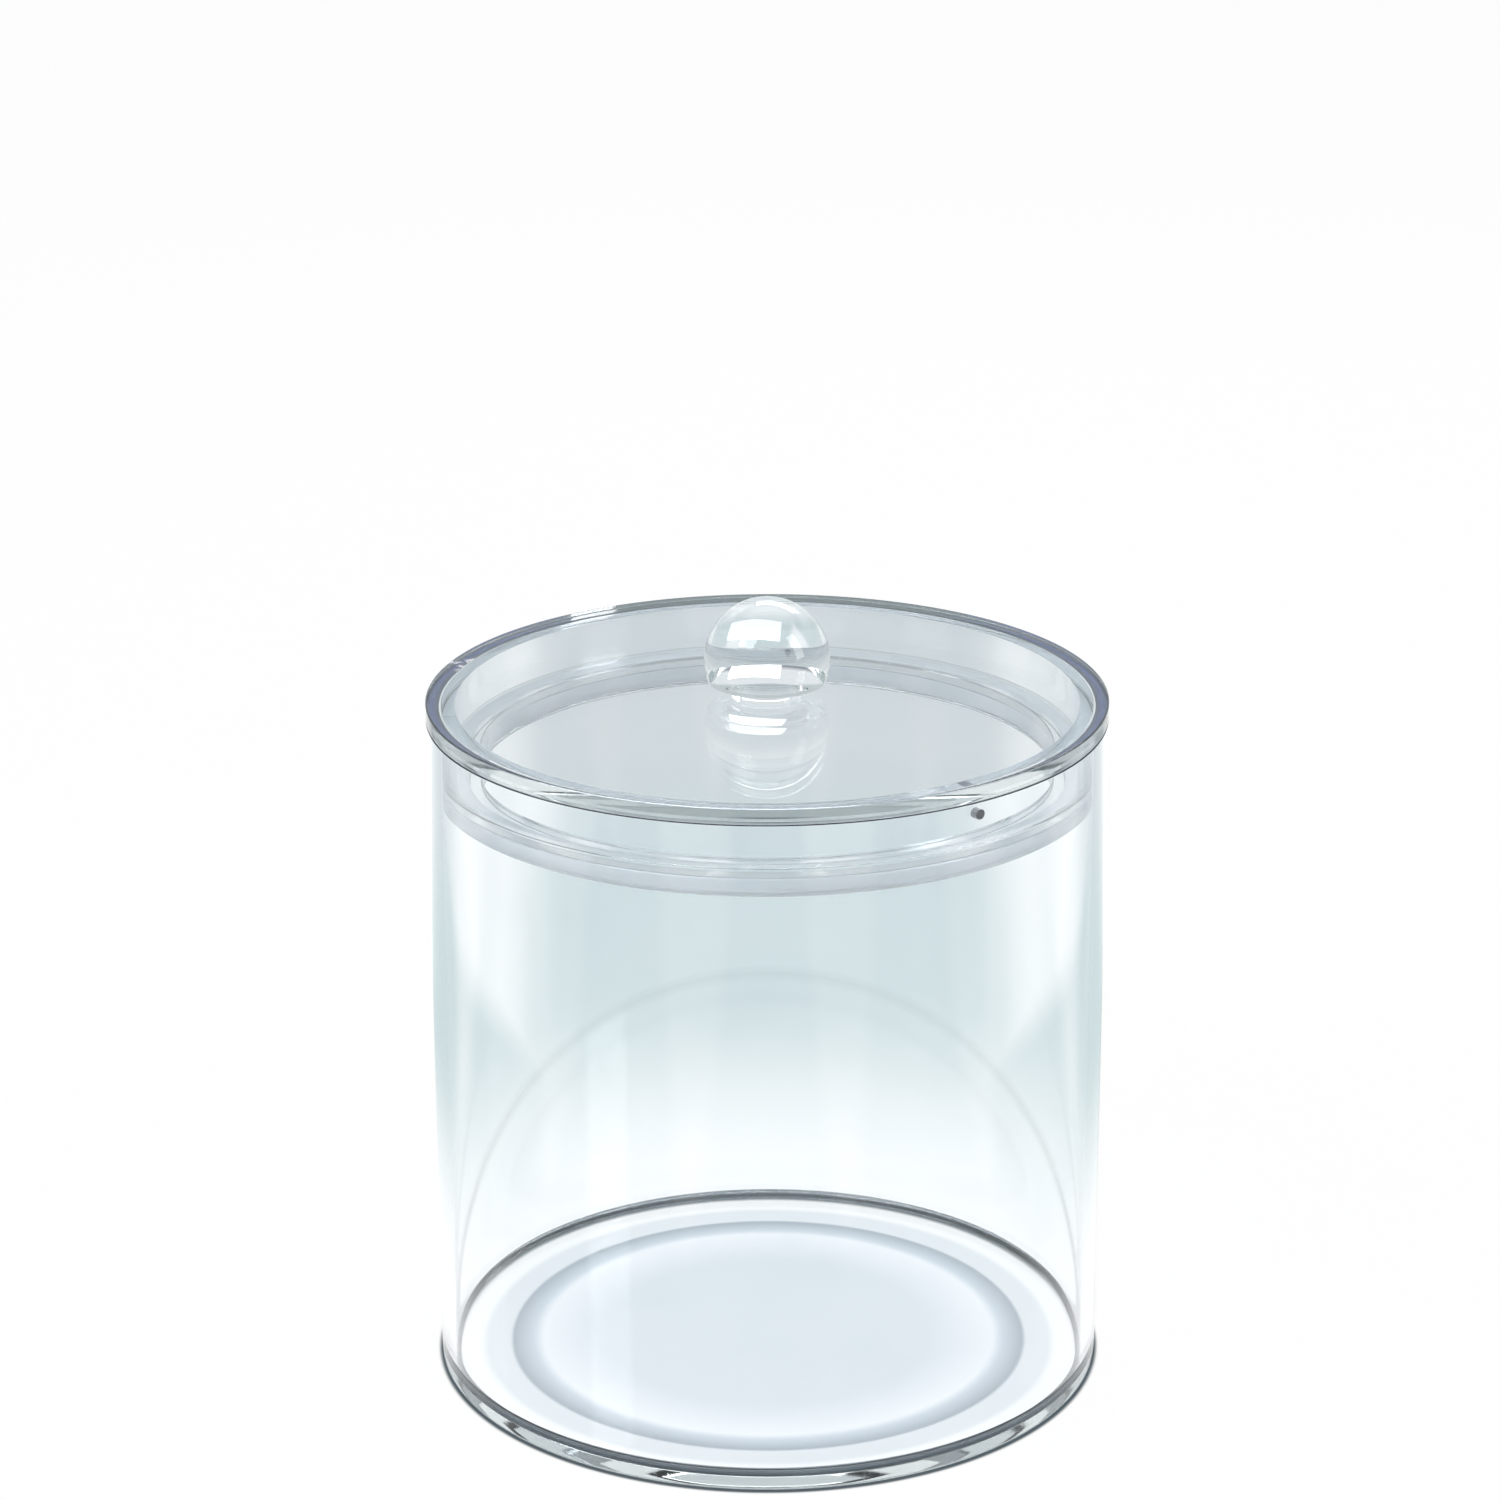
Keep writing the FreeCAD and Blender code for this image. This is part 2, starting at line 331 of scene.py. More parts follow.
def frost_hole(piece: Piece, radius: float, level: float, angle: float, number: int) -> None:
    """Gives the wall of a drilled hole a finish of its own.

    Args:
        piece: the drilled ring.
        radius: the hole's radius.
        level: height of its centre.
        angle: its direction from +X, in degrees.
        number: the finish's number on this piece.
    """
    turn = math.radians(angle)
    outward = Vector((math.cos(turn), math.sin(turn), 0))
    for face in piece.data.polygons:
        offset = Vector(face.center) - Vector((0, 0, level))
        along = offset.dot(outward)
        in_hole = along > 0 and (offset - along * outward).length < radius * HOLE_REACH
        if in_hole and abs(face.normal.dot(outward)) < CROSSWISE:
            face.material_index = number


def slit(piece: Piece, width: float, low: float, high: float, angle: float, middle: float,
         reach: float) -> None:
    """Cuts a thin upright gap through the side of a ring.

    Args:
        piece: the ring.
        width: width of the gap.
        low: level of the ring's underside.
        high: level of its top.
        angle: the gap's direction from +X, in degrees.
        middle: distance of the wall's middle from the jar's axis.
        reach: length of the cut through the wall.
    """
    turn = math.radians(angle)
    deselect()
    bpy.ops.mesh.primitive_cube_add(
        size=1, location=(middle * math.cos(turn), middle * math.sin(turn), (low + high) / 2),
        rotation=(0, 0, turn), scale=(reach, width, 2 * (high - low)))
    apply_cut(piece, bpy.context.object)


def smooth(piece: Piece) -> None:
    """Shades a piece smooth, with its hard edges kept and its broad faces left true.

    Args:
        piece: the piece.
    """
    pick(piece)
    bpy.ops.object.shade_smooth_by_angle(angle=SMOOTH_ANGLE)
    true = piece.modifiers.new("true_faces", "WEIGHTED_NORMAL")
    true.keep_sharp = True
    true.weight = BROAD_FACE_WEIGHT
    bpy.ops.object.modifier_apply(modifier=true.name)
    deselect()


def dress(piece: Piece, finishes: Sequence["Finish"], body: str, nodes: Sequence[str]) -> None:
    """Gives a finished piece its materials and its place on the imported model.

    Args:
        piece: the finished piece.
        finishes: its main finish first, then any that single faces name by number.
        body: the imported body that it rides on.
        nodes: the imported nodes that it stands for.
    """
    for finish in finishes:
        piece.data.materials.append(finish.material())
    smooth(piece)
    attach(piece, body)
    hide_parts(*nodes)
    log.info("%s: %d faces", piece.name, len(piece.data.polygons))


# Shader helpers


def fill(tree: Tree, place: Socket, given: Input) -> None:
    """Links a socket to an input, or sets the input's value.

    Args:
        tree: the nodes that the link joins.
        place: the input.
        given: a socket, a number, a vector or a colour.
    """
    if isinstance(given, Socket):
        tree.links.new(given, place)
    else:
        place.default_value = (*given, 1) if place.type == "RGBA" else given


def add(tree: Tree, kind: str, given: dict[str, Input], group: Tree | None = None) -> Node:
    """Adds a node with its named inputs filled.

    Args:
        tree: the nodes to add to.
        kind: the node's type.
        given: what each named input gets.
        group: the shared effect that a Group node places.

    Returns:
        The node.
    """
    node = tree.nodes.new(f"ShaderNode{kind}")
    if group:
        node.node_tree = group
    for name, value in given.items():
        fill(tree, node.inputs[name], value)
    return node


def calculate(tree: Tree, operation: str, *given: Input, kind: str = "Math", result: str = "Value") -> Socket:
    """Adds one step of arithmetic.

    Args:
        tree: the nodes to add to.
        operation: the node's operation.
        given: its inputs in order.
        kind: Math for numbers or VectorMath for vectors.
        result: the output to read, Value or Vector.

    Returns:
        The result's socket.
    """
    node = tree.nodes.new(f"ShaderNode{kind}")
    node.operation = operation
    for place, value in zip(node.inputs, given):
        fill(tree, place, value)
    return node.outputs[result]


def spread(tree: Tree, value: Socket, start: float, end: float, way: str = "SMOOTHSTEP") -> Socket:
    """Turns a value into a share that goes from 0 at the start to 1 at the end.

    Args:
        tree: the nodes to add to.
        value: the value.
        start: where the share is 0.
        end: where it is 1.
        way: SMOOTHSTEP to ease in and out, or LINEAR.

    Returns:
        The share's socket.
    """
    node = add(tree, "MapRange", {"Value": value, "From Min": start, "From Max": end})
    node.interpolation_type = way
    return node.outputs["Result"]


def mix_colours(tree: Tree, share: Input, first: Input, second: Input, blend: str = "MIX") -> Socket:
    """Mixes two colours.

    Args:
        tree: the nodes to add to.
        share: how much of the second colour shows, a socket or a number.
        first: the first colour or its socket.
        second: the second colour or its socket.
        blend: the Mix node's way of blending.

    Returns:
        The mixed colour's socket.
    """
    node = tree.nodes.new("ShaderNodeMix")
    node.data_type = "RGBA"
    node.blend_type = blend
    for name, given in (("Factor", share), ("A", first), ("B", second)):
        fill(tree, next(place for place in node.inputs if place.name == name and place.enabled), given)
    return node.outputs["Result"]


def mix_shaders(tree: Tree, share: Socket, first: Node, second: Node) -> Node:
    """Mixes two shaders.

    Args:
        tree: the nodes to add to.
        share: how much of the second shader shows.
        first: the first shader.
        second: the second shader.

    Returns:
        The mixed shader.
    """
    node = add(tree, "MixShader", {"Fac": share})
    for place, shader in ((1, first), (2, second)):
        tree.links.new(shader.outputs[0], node.inputs[place])
    return node


def ramp(tree: Tree, value: Socket, steps: Steps) -> Socket:
    """Turns a value between 0 and 1 into a colour by steps.

    Args:
        tree: the nodes to add to.
        value: the value.
        steps: each step's place and colour, in order.

    Returns:
        The colour's socket.
    """
    node = add(tree, "ValToRGB", {"Fac": value})
    stops = node.color_ramp.elements
    stops.remove(stops[1])
    stops[0].position = steps[0][0]
    stops[0].color = (*steps[0][1], 1)
    for place, colour in steps[1:]:
        stops.new(place).color = (*colour, 1)
    return node.outputs["Color"]


def bump(tree: Tree, height: Socket, depth: float, under: Socket | None = None) -> Socket:
    """Turns a height into a normal.

    Args:
        tree: the material's nodes.
        height: the height, from 0 to 1.
        depth: how deep a height of 1 is.
        under: a normal that this one rides on.

    Returns:
        The normal's socket.
    """
    node = add(tree, "Bump", {"Strength": 1, "Distance": depth, "Height": height})
    if under:
        tree.links.new(under, node.inputs["Normal"])
    return node.outputs["Normal"]


def place_on(tree: Tree) -> Socket:
    """The place on the piece, in Object coordinates."""
    return add(tree, "TexCoord", {}).outputs["Object"]


def seen_through(tree: Tree, share: float) -> Socket:
    """A share for rays that a clear piece mirrors or lets through, and 0 for the rest.

    Args:
        tree: the nodes to add to.
        share: the value for those rays.

    Returns:
        The value's socket.
    """
    path = add(tree, "LightPath", {}).outputs
    either = calculate(tree, "MAXIMUM", path["Is Glossy Ray"], path["Is Transmission Ray"])
    return calculate(tree, "MULTIPLY", either, share)


# Shared shader effects


def new_group(name: str, inputs: dict[str, str], outputs: Sequence[str]) -> Tree:
    """Makes a node group with its sockets.

    Args:
        name: the group's name.
        inputs: the kind of each named input, Float or Vector.
        outputs: the names of its outputs, which are numbers.

    Returns:
        The group.
    """
    group = bpy.data.node_groups.new(name, "ShaderNodeTree")
    for title, kind in inputs.items():
        group.interface.new_socket(name=title, in_out="INPUT", socket_type=f"NodeSocket{kind}")
    for title in outputs:
        group.interface.new_socket(name=title, in_out="OUTPUT", socket_type="NodeSocketFloat")
    return group


def handling_group() -> Tree:
    """Smudges and hairline scratches of a handled clear surface.

    Returns:
        A node group from a place on the surface to its roughness, height and marks.
    """
    name = "handling"
    if name in bpy.data.node_groups:
        return bpy.data.node_groups[name]
    group = new_group(name, {"Place": "Vector", "Polish": "Float", "Smudge": "Float", "Scratch": "Float"},
                      ("Roughness", "Height", "Mark"))
    given = group.nodes.new("NodeGroupInput").outputs
    result = group.nodes.new("NodeGroupOutput").inputs
    place = given["Place"]
    smudge = add(group, "TexNoise", {"Vector": place, "Scale": 22, "Detail": 5})
    patch = spread(group, smudge.outputs["Fac"], 0.52, 0.8, "LINEAR")
    along = add(group, "Mapping", {"Vector": place, "Rotation": (0.3, 0.5, 0.2), "Scale": (900, 40, 700)})
    hair = add(group, "TexNoise", {"Vector": along.outputs["Vector"], "Scale": 1, "Detail": 2})
    line = spread(group, hair.outputs["Fac"], 0.66, 0.74, "LINEAR")
    dulled = calculate(group, "MULTIPLY_ADD", patch, given["Smudge"], given["Polish"])
    fill(group, result["Roughness"], dulled)
    fill(group, result["Height"], calculate(group, "MULTIPLY", line, given["Scratch"]))
    fill(group, result["Mark"], patch)
    return group


def wave_group() -> Tree:
    """The slow waviness that casting, drawing or turning leaves in a clear surface.

    Returns:
        A node group from a place and a stretch to a height.
    """
    name = "waviness"
    if name in bpy.data.node_groups:
        return bpy.data.node_groups[name]
    group = new_group(name, {"Place": "Vector", "Stretch": "Vector"}, ("Height",))
    given = group.nodes.new("NodeGroupInput").outputs
    result = group.nodes.new("NodeGroupOutput").inputs
    stretched = calculate(
        group, "MULTIPLY", given["Place"], given["Stretch"], kind="VectorMath", result="Vector")
    swell = add(group, "TexNoise", {"Vector": stretched, "Scale": 4, "Detail": 1})
    fill(group, result["Height"], swell.outputs["Fac"])
    return group


def handled(tree: Tree, polish: float, smudge: float, scratch: float) -> Node:
    """Places the handling effect in a material.

    Args:
        tree: the material's nodes.
        polish: roughness of the clean surface.
        smudge: roughness that a smudge adds.
        scratch: depth of the hairlines.

    Returns:
        The effect's node.
    """
    given = {"Place": place_on(tree), "Polish": polish, "Smudge": smudge, "Scratch": scratch}
    return add(tree, "Group", given, handling_group())


def cover(tree: Tree, effect: Node, colour: Socket, depth: float, under: Socket | None = None) -> Node:
    """Gives a material's shader its colour and what the handling effect does to its skin.

    Args:
        tree: the material's nodes.
        effect: the handling effect.
        colour: the colour.
        depth: how deep the hairlines are.
        under: a normal that the hairlines ride on.

    Returns:
        The shader.
    """
    shader = tree.nodes["Principled BSDF"]
    fill(tree, shader.inputs["Base Color"], colour)
    fill(tree, shader.inputs["Roughness"], effect.outputs["Roughness"])
    fill(tree, shader.inputs["Normal"], bump(tree, effect.outputs["Height"], depth, under))
    return shader


# Finishes


@dataclass(frozen=True)
class Finish:
    """A finish with a name of its own, made a material once."""

    name: str

    def material(self) -> bpy.types.Material:
        """The Blender material of this finish, made at its first use.

        Returns:
            The material.
        """
        if self.name in bpy.data.materials:
            return bpy.data.materials[self.name]
        made = bpy.data.materials.new(self.name)
        made.use_nodes = True
        self.build(made.node_tree)
        return made

    def build(self, tree: Tree) -> None:
        """Fills in the material's nodes."""
        raise NotImplementedError


@dataclass(frozen=True)
class ClearAcrylic(Finish):
    """Polished clear acrylic, faintly blue in thickness."""

    stock: Stock = Stock.SHEET
    clear: Colour = (0.975, 0.985, 0.99)
    marked: Colour = (0.94, 0.955, 0.965)
    thickness_colour: Colour = (0.12, 0.33, 0.44)
    thickness_density: float = 8.0
    shade: Colour = (0.90, 0.92, 0.94)
    polish: float = 0.004
    smudge: float = 0.03
    scratch: float = 0.15
    scratch_depth: float = 0.004 * MM
    wave: float = 0.12 * MM

    def build(self, tree: Tree) -> None:
        """Clear body with a tinted depth, through which lamps light what is behind.

        Args:
            tree: the material's nodes.
        """
        effect = handled(tree, self.polish, self.smudge, self.scratch)
        waves = add(tree, "Group", {"Place": place_on(tree), "Stretch": self.stock.value}, wave_group())
        slow = bump(tree, waves.outputs["Height"], self.wave)
        colour = mix_colours(tree, effect.outputs["Mark"], self.clear, self.marked)
        shader = cover(tree, effect, colour, self.scratch_depth, slow)
        shader.inputs["Metallic"].default_value = 0
        shader.inputs["Transmission Weight"].default_value = 1
        shader.inputs["IOR"].default_value = ACRYLIC_IOR
        lit = add(tree, "BsdfTransparent", {"Color": self.shade})
        shadow = add(tree, "LightPath", {}).outputs["Is Shadow Ray"]
        tint = {"Color": self.thickness_colour, "Density": self.thickness_density}
        depth = add(tree, "VolumeAbsorption", tint)
        output = tree.nodes["Material Output"]
        fill(tree, output.inputs["Surface"], mix_shaders(tree, shadow, shader, lit).outputs["Shader"])
        fill(tree, output.inputs["Volume"], depth.outputs["Volume"])


@dataclass(frozen=True)
class CastAcrylic(ClearAcrylic):
    """Cast acrylic, paler and greyer in thickness than drawn tube."""

    thickness_colour: Colour = (0.30, 0.42, 0.42)
    thickness_density: float = 3.0


@dataclass(frozen=True)
class CutEdge(Finish):
    """The sawn and polished end of a clear tube, which gathers its depth of colour; its dark blue and green
    are painted shade.
    """

    # Painted shade: the dark blue and green that light carried down the wall shows on the cut face.
    blue: Colour = (0.005, 0.020, 0.095)
    green: Colour = (0.005, 0.028, 0.032)
    blue_shade_beyond: float = 80 * MM
    green_shade_within: float = 45 * MM
    inner: float = 96 * MM
    width: float = 4 * MM
    # Painted shade across the cut face: darkest along both edges, lightest in the middle.
    edge_shade_tones: tuple[tuple[float, float], ...] = ((0.1, 0.2), (0.22, 0.9), (0.5, 1.5), (0.78, 0.8), (0.9, 0.2))
    scuff: Colour = (0.72, 0.66, 0.70)
    scuff_place: Place = (-92 * MM, 33.5 * MM, 203 * MM)
    scuff_reach: float = 9 * MM
    scuff_core: float = 4 * MM
    chip_scale: float = 420
    chip_edge: tuple[float, float] = (0.52, 0.58)
    polish: float = 0.12
    smudge: float = 0.15
    scratch: float = 0.5
    scratch_depth: float = 0.02 * MM
    shine: float = 0.12

    def build(self, tree: Tree) -> None:
        """Painted shade, dark blue at the sides and dark green at front and back, darkest along both edges,
        and scuffed at one place.

        Args:
            tree: the material's nodes.
        """
        place = place_on(tree)
        axes = add(tree, "SeparateXYZ", {"Vector": place}).outputs
        flat = add(tree, "CombineXYZ", {"X": axes["X"], "Y": axes["Y"]}).outputs["Vector"]
        away = calculate(tree, "LENGTH", flat, kind="VectorMath")
        aside = calculate(tree, "ABSOLUTE", axes["X"])
        # Painted shade: blue at the sides turning to green at front and back.
        middle = spread(tree, aside, self.blue_shade_beyond, self.green_shade_within)
        colour = mix_colours(tree, middle, self.blue, self.green)
        across = calculate(tree, "DIVIDE", calculate(tree, "SUBTRACT", away, self.inner), self.width)
        # Painted shade along both edges of the cut face.
        edge_shade = ramp(tree, across, [(share, (tone, tone, tone)) for share, tone in self.edge_shade_tones])
        shaded = mix_colours(tree, 1, colour, edge_shade, "MULTIPLY")
        from_scuff = calculate(tree, "DISTANCE", place, self.scuff_place, kind="VectorMath")
        chips = add(tree, "TexNoise", {"Vector": place, "Scale": self.chip_scale}).outputs["Fac"]
        mark = calculate(tree, "MULTIPLY", spread(tree, from_scuff, self.scuff_reach, self.scuff_core),
                         spread(tree, chips, *self.chip_edge))
        effect = handled(tree, self.polish, self.smudge, self.scratch)
        shader = cover(tree, effect, mix_colours(tree, mark, shaded, self.scuff), self.scratch_depth)
        shader.inputs["IOR"].default_value = ACRYLIC_IOR
        shader.inputs["Specular IOR Level"].default_value = self.shine


@dataclass(frozen=True)
class DrilledWall(Finish):
    """The frosted wall that a drill leaves in clear acrylic, darkened with painted shade."""

    # Painted shade: the frost is darkened grey as the inside of the hole is shaded.
    shaded_frost: Colour = (0.17, 0.18, 0.21)
    bright: Colour = (0.5, 0.52, 0.57)
    polish: float = 0.45
    smudge: float = 0.2
    scratch: float = 1.0
    scratch_depth: float = 0.05 * MM

    def build(self, tree: Tree) -> None:
        """Grey and cloudy, darkened with painted shade, with drill marks.

        Args:
            tree: the material's nodes.
        """
        effect = handled(tree, self.polish, self.smudge, self.scratch)
        colour = mix_colours(tree, effect.outputs["Mark"], self.shaded_frost, self.bright)
        cover(tree, effect, colour, self.scratch_depth)


@dataclass(frozen=True)
class MilkySeal(Finish):
    """Soft, milky, faintly lavender seal."""

    pale: Colour = (0.84, 0.865, 0.88)
    deep: Colour = (0.77, 0.785, 0.815)
    polish: float = 0.17
    smudge: float = 0.1
    scratch: float = 0.3
    scratch_depth: float = 0.02 * MM
    ior: float = 1.42
    let_through: float = 0.5
    milk: float = 0.5
    milk_radius: Place = (3 * MM, 3 * MM, 3.4 * MM)

    def build(self, tree: Tree) -> None:
        """Milky body that lets some light through, with a satin skin.

        Args:
            tree: the material's nodes.
        """
        effect = handled(tree, self.polish, self.smudge, self.scratch)
        colour = mix_colours(tree, effect.outputs["Mark"], self.pale, self.deep)
        shader = cover(tree, effect, colour, self.scratch_depth)
        shader.inputs["Transmission Weight"].default_value = self.let_through
        shader.inputs["IOR"].default_value = self.ior
        shader.inputs["Subsurface Weight"].default_value = self.milk
        shader.inputs["Subsurface Radius"].default_value = self.milk_radius
        shader.inputs["Subsurface Scale"].default_value = 1


TUBE_FINISH = ClearAcrylic("drawn_tube_acrylic", stock=Stock.TUBE)
BASE_FINISH = CastAcrylic("cast_base_acrylic")
LID_FINISH = CastAcrylic("cast_lid_acrylic")
KNOB_FINISH = CastAcrylic("turned_knob_acrylic", stock=Stock.TURNED, wave=0.01 * MM)
RIM_FINISH = CutEdge("cut_rim_shade")
# Painted shade: nearly black clear finish on the cemented fillet and on eased edges, for the dark lines that
# refraction draws there.
JOINT_SHADE_FINISH = ClearAcrylic(
    "cement_joint_shade", clear=(0.13, 0.15, 0.17), marked=(0.34, 0.38, 0.41), thickness_density=0)
# Painted shade: grey-blue clear finish on the plate's rounded edges, for the dark band they show.
PLATE_EDGE_SHADE = ClearAcrylic(
    "shaded_plate_edge", clear=(0.40, 0.45, 0.51), marked=(0.52, 0.57, 0.62), thickness_density=0)
HOLE_FINISH = DrilledWall("shaded_drilled_wall")
SEAL_FINISH = MilkySeal("milky_seal_skin")


# The object


@dataclass
class Jar:
    """The tube and the base disc that it stands on."""

    wall: float = 4 * MM
    foot_round: float = 1 * MM
    foot_steps: int = 6
    rim_round: float = 0.3 * MM
    rim_steps: int = 3
    joint_bevel: float = 0.25 * MM
    joint_steps: int = 2
    cement: float = 1.6 * MM
    cement_steps: int = 5
    loop_shares: tuple[float, ...] = (0.25, 0.5, 0.75)

    def build(self) -> None:
        """Builds both pieces of the jar."""
        self.base()
        self.tube()

    def base(self) -> None:
        """The disc, with its lower edge rounded and its joint edge eased."""
        low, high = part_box("jar_base")
        disc = add_disc("base_disc", high.x, low.z, high.z)
        round_ring(disc, high.x, low.z, self.foot_round, self.foot_steps)
        round_ring(disc, high.x, high.z, self.joint_bevel, self.joint_steps)
        dress(disc, [BASE_FINISH], "jar", ["jar_base"])

    def tube(self) -> None:
        """The tube, with its rim's two edges eased, painted shade on its cut face, and its foot cemented with
        a fillet painted dark with shade.
        """
        low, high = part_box("jar_wall")
        foot = low.z - BOND
        rim = high.z - REST_GAP
        bore = high.x - self.wall
        tube = add_tube("tube_wall", high.x, bore, foot, rim)
        for radius in (high.x, bore):
            round_ring(tube, radius, rim, self.rim_round, self.rim_steps)
        round_ring(tube, high.x, foot, self.joint_bevel, self.joint_steps)
        self.fillet(tube, bore, foot)
        for share in self.loop_shares:
            cut_level(tube, low.z + (high.z - low.z) * share)
        finishes = [TUBE_FINISH, RIM_FINISH, JOINT_SHADE_FINISH]
        # Painted shade: the cut face takes the rim finish and the cemented fillet the joint finish.
        for face in tube.data.polygons:
            inside = math.hypot(*face.center.xy) < high.x - self.joint_bevel
            if face.normal.z > UPWARD and face.center.z > rim - self.rim_round:
                face.material_index = finishes.index(RIM_FINISH)
            elif inside and face.center.z < foot + self.cement:
                face.material_index = finishes.index(JOINT_SHADE_FINISH)
        dress(tube, finishes, "jar", ["jar_wall"])

    def fillet(self, tube: Piece, bore: float, foot: float) -> None:
        """Flares the tube's foot inwards into the hollow fillet of its cement.

        Args:
            tube: the tube.
            bore: its inside radius.
            foot: level of its foot.
        """
        turns = [math.radians(90 * step / self.cement_steps) for step in range(self.cement_steps + 1)]
        for turn in turns[:-1]:
            cut_level(tube, foot + self.cement * (1 - math.sin(turn)))
        for turn in turns:
            select_ring(tube, bore, foot + self.cement * (1 - math.sin(turn)))
            narrower = (bore - self.cement * (1 - math.cos(turn))) / bore
            bpy.ops.transform.resize(value=(narrower, narrower, 1), center_override=(0, 0, 0))
            deselect()


@dataclass
class Lid:
    """The plate, and the plug's tube and flat ring cemented under it."""

    edge_round: float = 0.5 * MM
    edge_steps: int = 4
    plug_wall: float = 4 * MM
    flange_bore: float = 84.2 * MM
    vent_radius: float = 1.5 * MM
    vent_drop: float = 5 * MM
    vent_angle: float = 307.5
    ring_ease: float = 0.25 * MM
    ring_steps: int = 2

    def build(self) -> None:
        """Builds the three clear pieces of the lid."""
        self.plate()
        self.plug()
        self.flange()

    def plate(self) -> None:
        """The plate, with both edges rounded and painted with shade."""
        low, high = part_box("lid_plate")
        plate = add_disc("lid_disc", high.x, low.z, high.z)
        finishes = [LID_FINISH, PLATE_EDGE_SHADE]
        for level in (low.z, high.z):
            round_ring(plate, high.x, level, self.edge_round, self.edge_steps)
            mark_ring(plate, high.x, level, self.edge_round, finishes.index(PLATE_EDGE_SHADE))
        dress(plate, finishes, "lid", ["lid_plate"])

    def plug(self) -> None:
        """The plug's tube, with its air hole."""
        low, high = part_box("plug_wall")
        bore = high.x - self.plug_wall
        tube = add_tube("plug_tube", high.x, bore, low.z - BOND, high.z + BOND)
        middle = (high.x + bore) / 2
        level = high.z - self.vent_drop
        finishes = [LID_FINISH, HOLE_FINISH]
        drill(tube, self.vent_radius, level, self.vent_angle, middle, 3 * self.plug_wall)
        frost_hole(tube, self.vent_radius, level, self.vent_angle, finishes.index(HOLE_FINISH))
        dress(tube, finishes, "lid", ["plug_wall"])

    def flange(self) -> None:
        """The flat ring at the plug's foot, with its four edges eased and painted with dark lines of shade.
        """
        low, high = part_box("plug_flange")
        ring = add_tube("plug_ring", high.x, self.flange_bore, low.z, high.z)
        finishes = [LID_FINISH, JOINT_SHADE_FINISH]
        for radius in (high.x, self.flange_bore):
            for level in (low.z, high.z):
                round_ring(ring, radius, level, self.ring_ease, self.ring_steps)
                mark_ring(ring, radius, level, self.ring_ease, finishes.index(JOINT_SHADE_FINISH))
        dress(ring, finishes, "lid", ["plug_flange"])


@dataclass
class Seal:
    """The hoop under the plug and the soft ring stretched round it."""

    hoop_wall: float = 3.5 * MM
    hoop_ease: float = 0.2 * MM
    hoop_steps: int = 2
    hole_radius: float = 2 * MM
    hole_angle: float = 99.5
    bore_gap: float = 0.3 * MM
    seat_gap: float = 0.1 * MM
    outer_round: float = 2.5 * MM
    outer_steps: int = 8
    skin_round: float = 0.5 * MM
    skin_steps: int = 3
    slit_width: float = 0.3 * MM
    slit_angle: float = 181.7

    def build(self) -> None:
        """Builds the hoop and the soft ring."""
        self.hoop()
        self.ring()

    def hoop(self) -> None:
        """The clear hoop, with its lower edges eased and painted with dark lines of shade, and its hole."""
        low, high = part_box("seal_hoop")
        bore = high.x - self.hoop_wall
        hoop = add_tube("seal_hoop_ring", high.x, bore, low.z, high.z + BOND)
        finishes = [LID_FINISH, HOLE_FINISH, JOINT_SHADE_FINISH]
        for radius in (high.x, bore):
            round_ring(hoop, radius, low.z, self.hoop_ease, self.hoop_steps)
            mark_ring(hoop, radius, low.z, self.hoop_ease, finishes.index(JOINT_SHADE_FINISH))
        middle = (high.x + bore) / 2
        level = (low.z + high.z) / 2
        drill(hoop, self.hole_radius, level, self.hole_angle, middle, 3 * self.hoop_wall)
        frost_hole(hoop, self.hole_radius, level, self.hole_angle, finishes.index(HOLE_FINISH))
        dress(hoop, finishes, "lid", ["seal_hoop"])

    def ring(self) -> None:
        """The soft ring, rounded where it enters the jar and butted at one place."""
        low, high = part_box("seal_ring")
        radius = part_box("jar_wall")[1].x - Jar.wall - self.bore_gap
        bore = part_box("seal_hoop")[1].x + self.seat_gap
        top = high.z - REST_GAP
        ring = add_tube("soft_seal", radius, bore, low.z, top)
        round_ring(ring, radius, low.z, self.outer_round, self.outer_steps)
        round_ring(ring, radius, top, self.skin_round, self.skin_steps)
        round_ring(ring, bore, low.z, self.skin_round, self.skin_steps)
        slit(ring, self.slit_width, low.z, top, self.slit_angle, (radius + bore) / 2, 3 * (radius - bore))
        dress(ring, [SEAL_FINISH], "lid", ["seal_ring"])


